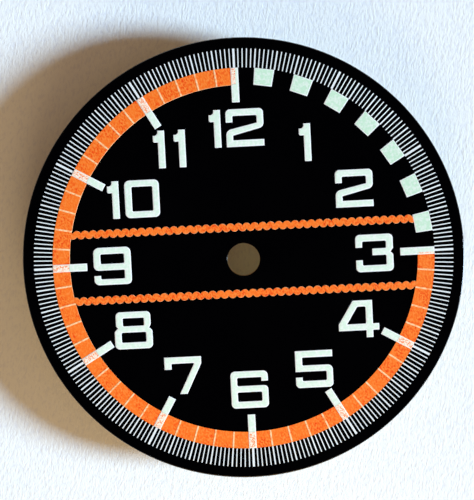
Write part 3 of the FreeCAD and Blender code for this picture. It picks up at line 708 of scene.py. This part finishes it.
def copied_shape(name):
    """A bmesh of a CAD node's shape, its doubles merged and its flat faces joined."""
    shape = bmesh.new()
    shape.from_mesh(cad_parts[name].data)
    bmesh.ops.remove_doubles(shape, verts=shape.verts, dist=MERGE_DISTANCE)
    bmesh.ops.dissolve_limit(shape, angle_limit=FLAT_ANGLE, verts=shape.verts, edges=shape.edges)
    return shape


def add_soft_paint(name, node, material, shapes):
    """A patch of luminous paint: the CAD patch, whose top rolls down to the edge as wet paint does."""
    low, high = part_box(node)
    shape = copied_shape(node)
    for step in range(shapes.rounding_steps):
        top = [
            face for face in shape.faces if all(high.z - point.co.z < MERGE_DISTANCE for point in face.verts)
        ]
        slope = bmesh.ops.inset_region(
            shape, faces=top, thickness=shapes.paint_edge / shapes.rounding_steps, use_even_offset=True
        )["faces"]
        inner = list(dict.fromkeys(point for face in top for point in face.verts))
        outwards = 1 - step / shapes.rounding_steps
        for point in {point for face in slope for point in face.verts}.difference(inner):
            point.co.z -= (high.z - low.z) * shapes.paint_drop * (1 - math.sqrt(1 - outwards ** 2))
        # A small round corner shrinks as the slope moves in, so its points are joined before they can cross.
        bmesh.ops.remove_doubles(shape, verts=inner, dist=CORNER_DISTANCE)
    add_piece(name, shape, material, [node])


class WATCHDIAL_OT_plate(Operator):
    """Gives the plate its bare rolled brass"""

    bl_idname = "watch_dial.plate"
    bl_label = "Brass plate"
    bl_options = {"REGISTER", "UNDO"}

    def execute(self, context):
        scene = context.scene
        dress(["dial_plate"], brass_material(scene.dial_colours, scene.dial_patterns))
        return {"FINISHED"}


class WATCHDIAL_OT_lacquer(Operator):
    """Spins the black coat over the face and down the rim"""

    bl_idname = "watch_dial.lacquer"
    bl_label = "Black lacquer"
    bl_options = {"REGISTER", "UNDO"}

    def execute(self, context):
        scene = context.scene
        shapes = scene.dial_shapes
        hole, rim = node_radii("black_lacquer")
        low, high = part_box("black_lacquer")
        plate_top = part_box("dial_plate")[1].z
        plate_rim = node_radii("dial_plate")[1]
        outline = [
            (hole, plate_top), (hole, high.z), (rim, high.z), (rim, low.z), (plate_rim, low.z),
            (plate_rim, plate_top),
        ]
        shape = bmesh.new()
        points = [shape.verts.new((radius, 0.0, z)) for radius, z in outline]
        edges = [shape.edges.new((start, end)) for start, end in zip(points, points[1:] + points[:1])]
        bmesh.ops.spin(
            shape, geom=points + edges, cent=(0.0, 0.0, 0.0), axis=(0.0, 0.0, 1.0), angle=math.tau,
            steps=shapes.lacquer_steps, use_merge=True,
        )
        bmesh.ops.remove_doubles(shape, verts=shape.verts, dist=MERGE_DISTANCE)
        bmesh.ops.recalc_face_normals(shape, faces=shape.faces)
        for radius, z, rounding in (
            (rim, high.z, shapes.rim_rounding),
            (plate_rim, plate_top, shapes.plate_rounding),
            (hole, high.z, shapes.hole_rounding),
        ):
            corner = [
                edge for edge in shape.edges
                if all(
                    abs(point.co.xy.length - radius) < MERGE_DISTANCE and abs(point.co.z - z) < MERGE_DISTANCE
                    for point in edge.verts
                )
            ]
            bmesh.ops.bevel(
                shape, geom=corner, offset=rounding, offset_type="OFFSET", segments=shapes.rounding_steps,
                profile=0.5, affect="EDGES", material=-1, clamp_overlap=True,
            )
        material = lacquer_material(scene.dial_colours, scene.dial_patterns)
        add_piece("lacquer_coat", shape, material, ["black_lacquer"])
        return {"FINISHED"}


class WATCHDIAL_OT_orange_print(Operator):
    """Gives the ring and the stripes their orange ink, their pale ground and the lines across the ring"""

    bl_idname = "watch_dial.orange_print"
    bl_label = "Orange ring and stripes"
    bl_options = {"REGISTER", "UNDO"}

    def execute(self, context):
        colours = context.scene.dial_colours
        patterns = context.scene.dial_patterns
        orange = orange_material(colours, patterns)
        tinted = white_material(
            "white_ink_over_orange", patterns, colours.cream, colours.orange_thin,
            break_start=0.46, break_full=0.64, most=0.9,
        )
        dress(["orange_ring", "orange_stripe_upper", "orange_stripe_lower"], orange)
        dress(
            ["ring_underprint", "stripe_underprint_upper", "stripe_underprint_lower", "ring_minute_lines"],
            tinted,
        )
        return {"FINISHED"}


class WATCHDIAL_OT_white_print(Operator):
    """Gives the track lines and the borders of the luminous paint their white ink"""

    bl_idname = "watch_dial.white_print"
    bl_label = "White lines and borders"
    bl_options = {"REGISTER", "UNDO"}

    def execute(self, context):
        colours = context.scene.dial_colours
        patterns = context.scene.dial_patterns
        white = white_material(
            "white_screen_ink", patterns, colours.white, colours.white_thin,
            break_start=0.55, break_full=0.75, most=0.5,
        )
        dress(
            ["track_fine_lines", "track_minute_lines", "track_hour_lines", "hour_bar_print", "square_print",
             "numeral_print"],
            white,
        )
        return {"FINISHED"}


class WATCHDIAL_OT_numerals(Operator):
    """Makes the luminous paint of the twelve numerals"""

    bl_idname = "watch_dial.numerals"
    bl_label = "Luminous numerals"
    bl_options = {"REGISTER", "UNDO"}

    def execute(self, context):
        scene = context.scene
        colours = scene.dial_colours
        paint = luminous_material(
            "luminous_paint_numerals", "numeral_lume_12", colours.glow, colours, scene.dial_patterns
        )[0]
        for hour in range(1, 13):
            add_soft_paint(
                f"luminous_numeral_{hour:02d}", f"numeral_lume_{hour:02d}", paint, scene.dial_shapes
            )
        return {"FINISHED"}


class WATCHDIAL_OT_hour_bars(Operator):
    """Makes the luminous paint of the bars at 3 to 12 o'clock"""

    bl_idname = "watch_dial.hour_bars"
    bl_label = "Luminous bars"
    bl_options = {"REGISTER", "UNDO"}

    def execute(self, context):
        scene = context.scene
        paint = bar_luminous_material(scene.dial_colours, scene.dial_patterns)
        for hour in range(3, 13):
            add_soft_paint(f"luminous_bar_{hour:02d}", f"hour_bar_lume_{hour:02d}", paint, scene.dial_shapes)
        return {"FINISHED"}


class WATCHDIAL_OT_squares(Operator):
    """Makes the luminous paint of the squares between 12 and 3 o'clock"""

    bl_idname = "watch_dial.squares"
    bl_label = "Luminous squares"
    bl_options = {"REGISTER", "UNDO"}

    def execute(self, context):
        scene = context.scene
        colours = scene.dial_colours
        paint = luminous_material(
            "luminous_paint_squares", "square_lume_1", colours.glow_square, colours, scene.dial_patterns
        )[0]
        for place in range(1, 8):
            add_soft_paint(f"luminous_square_{place}", f"square_lume_{place}", paint, scene.dial_shapes)
        return {"FINISHED"}


class WATCHDIAL_OT_feet(Operator):
    """Gives the feet their copper and flows the solder round each foot"""

    bl_idname = "watch_dial.feet"
    bl_label = "Feet and solder"
    bl_options = {"REGISTER", "UNDO"}

    def execute(self, context):
        scene = context.scene
        shapes = scene.dial_shapes
        copper = copper_material(scene.dial_colours, scene.dial_patterns)
        dress(["dial_foot_upper", "dial_foot_lower"], copper)
        tin = solder_material(scene.dial_colours, scene.dial_patterns)
        for side in ("upper", "lower"):
            self.flow_solder(side, tin, shapes)
        return {"FINISHED"}

    def flow_solder(self, side, tin, shapes):
        """Spins one fillet with a hollow flank and pushes its skin about as frozen solder is."""
        low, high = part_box(f"foot_solder_{side}")
        foot_low, foot_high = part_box(f"dial_foot_{side}")
        middle = Vector(((low.x + high.x) / 2, (low.y + high.y) / 2, 0.0))
        outer = (high.x - low.x) / 2
        inner = (foot_high.x - foot_low.x) / 2
        outline = [(inner, high.z), (outer, high.z)]
        for step in range(1, shapes.flank_steps):
            share = step / shapes.flank_steps
            dip = math.sin(math.pi * share) * shapes.solder_hollow * (outer - inner)
            outline.append((outer + (inner - outer) * share - dip, high.z + (low.z - high.z) * share + dip))
        outline.append((inner, low.z))
        shape = bmesh.new()
        points = [shape.verts.new((middle.x + radius, middle.y, z)) for radius, z in outline]
        edges = [shape.edges.new((start, end)) for start, end in zip(points, points[1:] + points[:1])]
        bmesh.ops.spin(
            shape, geom=points + edges, cent=middle, axis=(0.0, 0.0, 1.0), angle=math.tau,
            steps=shapes.solder_steps, use_merge=True,
        )
        bmesh.ops.remove_doubles(shape, verts=shape.verts, dist=MERGE_DISTANCE)
        bmesh.ops.recalc_face_normals(shape, faces=shape.faces)
        # The points on the foot stay in place, and so do those that the hollow lifts over the plate's back.
        for point in shape.verts:
            from_axis = (point.co - middle).xy
            if from_axis.length - inner > MERGE_DISTANCE and high.z - point.co.z > -MERGE_DISTANCE:
                lump = (noise.noise(point.co / shapes.lump_width) - shapes.lump_level) * shapes.solder_lump
                point.co += from_axis.normalized().to_3d() * min(lump, outer - from_axis.length)
        add_piece(f"solder_fillet_{side}", shape, tin, [f"foot_solder_{side}"])


class WATCHDIAL_OT_stage(Operator):
    """Lays the paper, lights it and sets up the camera"""

    bl_idname = "watch_dial.stage"
    bl_label = "Paper, light and camera"
    bl_options = {"REGISTER", "UNDO"}

    def execute(self, context):
        scene = context.scene
        stage = scene.dial_stage
        self.lay_paper(scene, stage)
        self.add_window(scene, stage)
        self.add_lamp(scene, stage)
        self.light_room(scene, stage)
        self.aim_camera(scene, stage)
        scene.view_settings.view_transform = "Standard"
        return {"FINISHED"}

    def lay_paper(self, scene, stage):
        """The sheet lies under the tips of the feet."""
        sheet = bmesh.new()
        bmesh.ops.create_grid(sheet, x_segments=1, y_segments=1, size=stage.floor_size)
        bmesh.ops.translate(sheet, verts=sheet.verts, vec=(0.0, 0.0, cad_box[0].z))
        mesh = bpy.data.meshes.new("paper")
        sheet.to_mesh(mesh)
        sheet.free()
        mesh.materials.append(paper_material(scene.dial_colours, scene.dial_patterns))
        paper = bpy.data.objects.new("paper", mesh)
        scene.collection.objects.link(paper)

    def add_window(self, scene, stage):
        """The low window light, from far away: its share is what it gives to a level white surface."""
        light = bpy.data.lights.new("window_light", "SUN")
        light.energy = math.pi / math.sin(stage.key_elevation)
        light.color = stage.key_share
        light.angle = stage.key_softness
        window = bpy.data.objects.new("window_light", light)
        level = math.cos(stage.key_elevation)
        towards = Vector((
            math.cos(stage.key_turn) * level, math.sin(stage.key_turn) * level, math.sin(stage.key_elevation)
        ))
        window.rotation_euler = towards.to_track_quat("Z", "Y").to_euler()
        scene.collection.objects.link(window)

    def add_lamp(self, scene, stage):
        """The warm lamp in front of the dial, so near that the far side of the dial gets less of it."""
        light = bpy.data.lights.new("desk_lamp", "AREA")
        light.shape = "RECTANGLE"
        light.size = stage.diffuser_width
        light.size_y = stage.diffuser_height
        away = Vector((
            math.cos(stage.lamp_turn) * stage.lamp_distance, math.sin(stage.lamp_turn) * stage.lamp_distance,
            stage.lamp_height,
        ))
        light.spread = stage.lamp_spread
        light.energy = LAMP_GAIN * away.length_squared * away.length / away.z
        light.color = stage.lamp_share
        lamp = bpy.data.objects.new("desk_lamp", light)
        lamp.location = away + Vector((0.0, 0.0, cad_box[0].z))
        aim = away.xy.normalized().to_3d() * stage.lamp_aim
        lamp.rotation_euler = (away - aim).to_track_quat("Z", "Y").to_euler()
        lamp.visible_camera = False
        scene.collection.objects.link(lamp)

    def light_room(self, scene, stage):
        """Lights surfaces with the dim warm room. The camera sees the pale backdrop instead, and the gloss
        sees walls that are pale towards the window, under a dark ceiling."""
        world = bpy.data.worlds.new("room")
        world.use_nodes = True
        scene.world = world
        tree = world.node_tree
        direction = add_node(tree, "ShaderNodeTexCoord").outputs["Generated"]
        axes = add_node(tree, "ShaderNodeSeparateXYZ", {"Vector": direction})
        overhead = add_node(
            tree, "ShaderNodeMapRange",
            {"Value": axes.outputs["Z"], "From Min": math.sin(stage.ceiling_start),
             "From Max": math.sin(stage.ceiling_full)},
            interpolation_type="SMOOTHSTEP",
        )
        # X is 1 straight towards the window's side and -1 straight away from it.
        dim_start, dim_full = 0.3, -0.8
        away_from_window = add_node(
            tree, "ShaderNodeMapRange",
            {"Value": axes.outputs["X"], "From Min": dim_start, "From Max": dim_full},
            interpolation_type="SMOOTHSTEP",
        )
        walls = mixed(tree, away_from_window.outputs["Result"], stage.backdrop, stage.far_wall)
        reflected = mixed(tree, overhead.outputs["Result"], walls, stage.ceiling)
        ray = add_node(tree, "ShaderNodeLightPath")
        gloss = add_node(
            tree, "ShaderNodeMath",
            {0: ray.outputs["Is Glossy Ray"], 1: ray.outputs["Is Transmission Ray"]}, operation="MAXIMUM",
        )
        indoors = mixed(tree, gloss.outputs["Value"], stage.room_share, reflected)
        set_inputs(tree, tree.nodes["Background"], {
            "Color": mixed(tree, ray.outputs["Is Camera Ray"], indoors, stage.backdrop),
            "Strength": 1.0,
        })

    def aim_camera(self, scene, stage):
        """The camera looks down at the face, leaning a little towards 12 o'clock."""
        lens = bpy.data.cameras.new("camera")
        lens.lens = stage.lens
        lens.sensor_width = SENSOR_WIDTH
        lens.clip_start = CLIP_NEAR
        lens.clip_end = CLIP_FAR
        back = Vector((
            math.sin(stage.camera_tilt) * math.cos(stage.camera_lean),
            math.sin(stage.camera_tilt) * math.sin(stage.camera_lean),
            math.cos(stage.camera_tilt),
        ))
        target = Vector((stage.camera_x, stage.camera_y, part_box("black_lacquer")[1].z))
        upright = Vector((math.sin(stage.camera_roll), math.cos(stage.camera_roll), 0.0))
        right = upright.cross(back).normalized()
        up = back.cross(right)
        camera = bpy.data.objects.new("camera", lens)
        turned = Matrix((right, up, back)).transposed().to_4x4()
        camera.matrix_world = Matrix.Translation(target + back * stage.camera_distance) @ turned
        scene.collection.objects.link(camera)
        scene.camera = camera


class WATCHDIAL_PT_finish(Panel):
    """Lists the dial's operators and settings"""

    bl_idname = "WATCHDIAL_PT_finish"
    bl_label = "Watch dial"
    bl_space_type = "VIEW_3D"
    bl_region_type = "UI"
    bl_category = "Watch dial"

    def draw(self, context):
        for operator in OPERATORS:
            self.layout.operator(operator.bl_idname)
        for name, group in SETTINGS.items():
            box = self.layout.box()
            for setting in group.__annotations__:
                box.prop(getattr(context.scene, name), setting)


SETTINGS = {
    "dial_shapes": DialShapes,
    "dial_colours": DialColours,
    "dial_patterns": DialPatterns,
    "dial_stage": DialStage,
}
OPERATORS = (
    WATCHDIAL_OT_plate,
    WATCHDIAL_OT_lacquer,
    WATCHDIAL_OT_orange_print,
    WATCHDIAL_OT_white_print,
    WATCHDIAL_OT_numerals,
    WATCHDIAL_OT_hour_bars,
    WATCHDIAL_OT_squares,
    WATCHDIAL_OT_feet,
    WATCHDIAL_OT_stage,
)


def register():
    """Registers the settings, the operators and the panel."""
    for name, group in SETTINGS.items():
        bpy.utils.register_class(group)
        setattr(bpy.types.Scene, name, PointerProperty(type=group))
    for operator in OPERATORS:
        bpy.utils.register_class(operator)
    bpy.utils.register_class(WATCHDIAL_PT_finish)


def unregister():
    """Takes them away again."""
    bpy.utils.unregister_class(WATCHDIAL_PT_finish)
    for operator in reversed(OPERATORS):
        bpy.utils.unregister_class(operator)
    for name, group in SETTINGS.items():
        delattr(bpy.types.Scene, name)
        bpy.utils.unregister_class(group)


def main():
    """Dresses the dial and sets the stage."""
    register()
    for make in (
        bpy.ops.watch_dial.plate,
        bpy.ops.watch_dial.lacquer,
        bpy.ops.watch_dial.orange_print,
        bpy.ops.watch_dial.white_print,
        bpy.ops.watch_dial.numerals,
        bpy.ops.watch_dial.hour_bars,
        bpy.ops.watch_dial.squares,
        bpy.ops.watch_dial.feet,
        bpy.ops.watch_dial.stage,
    ):
        make()


if __name__ == "__main__":
    main()
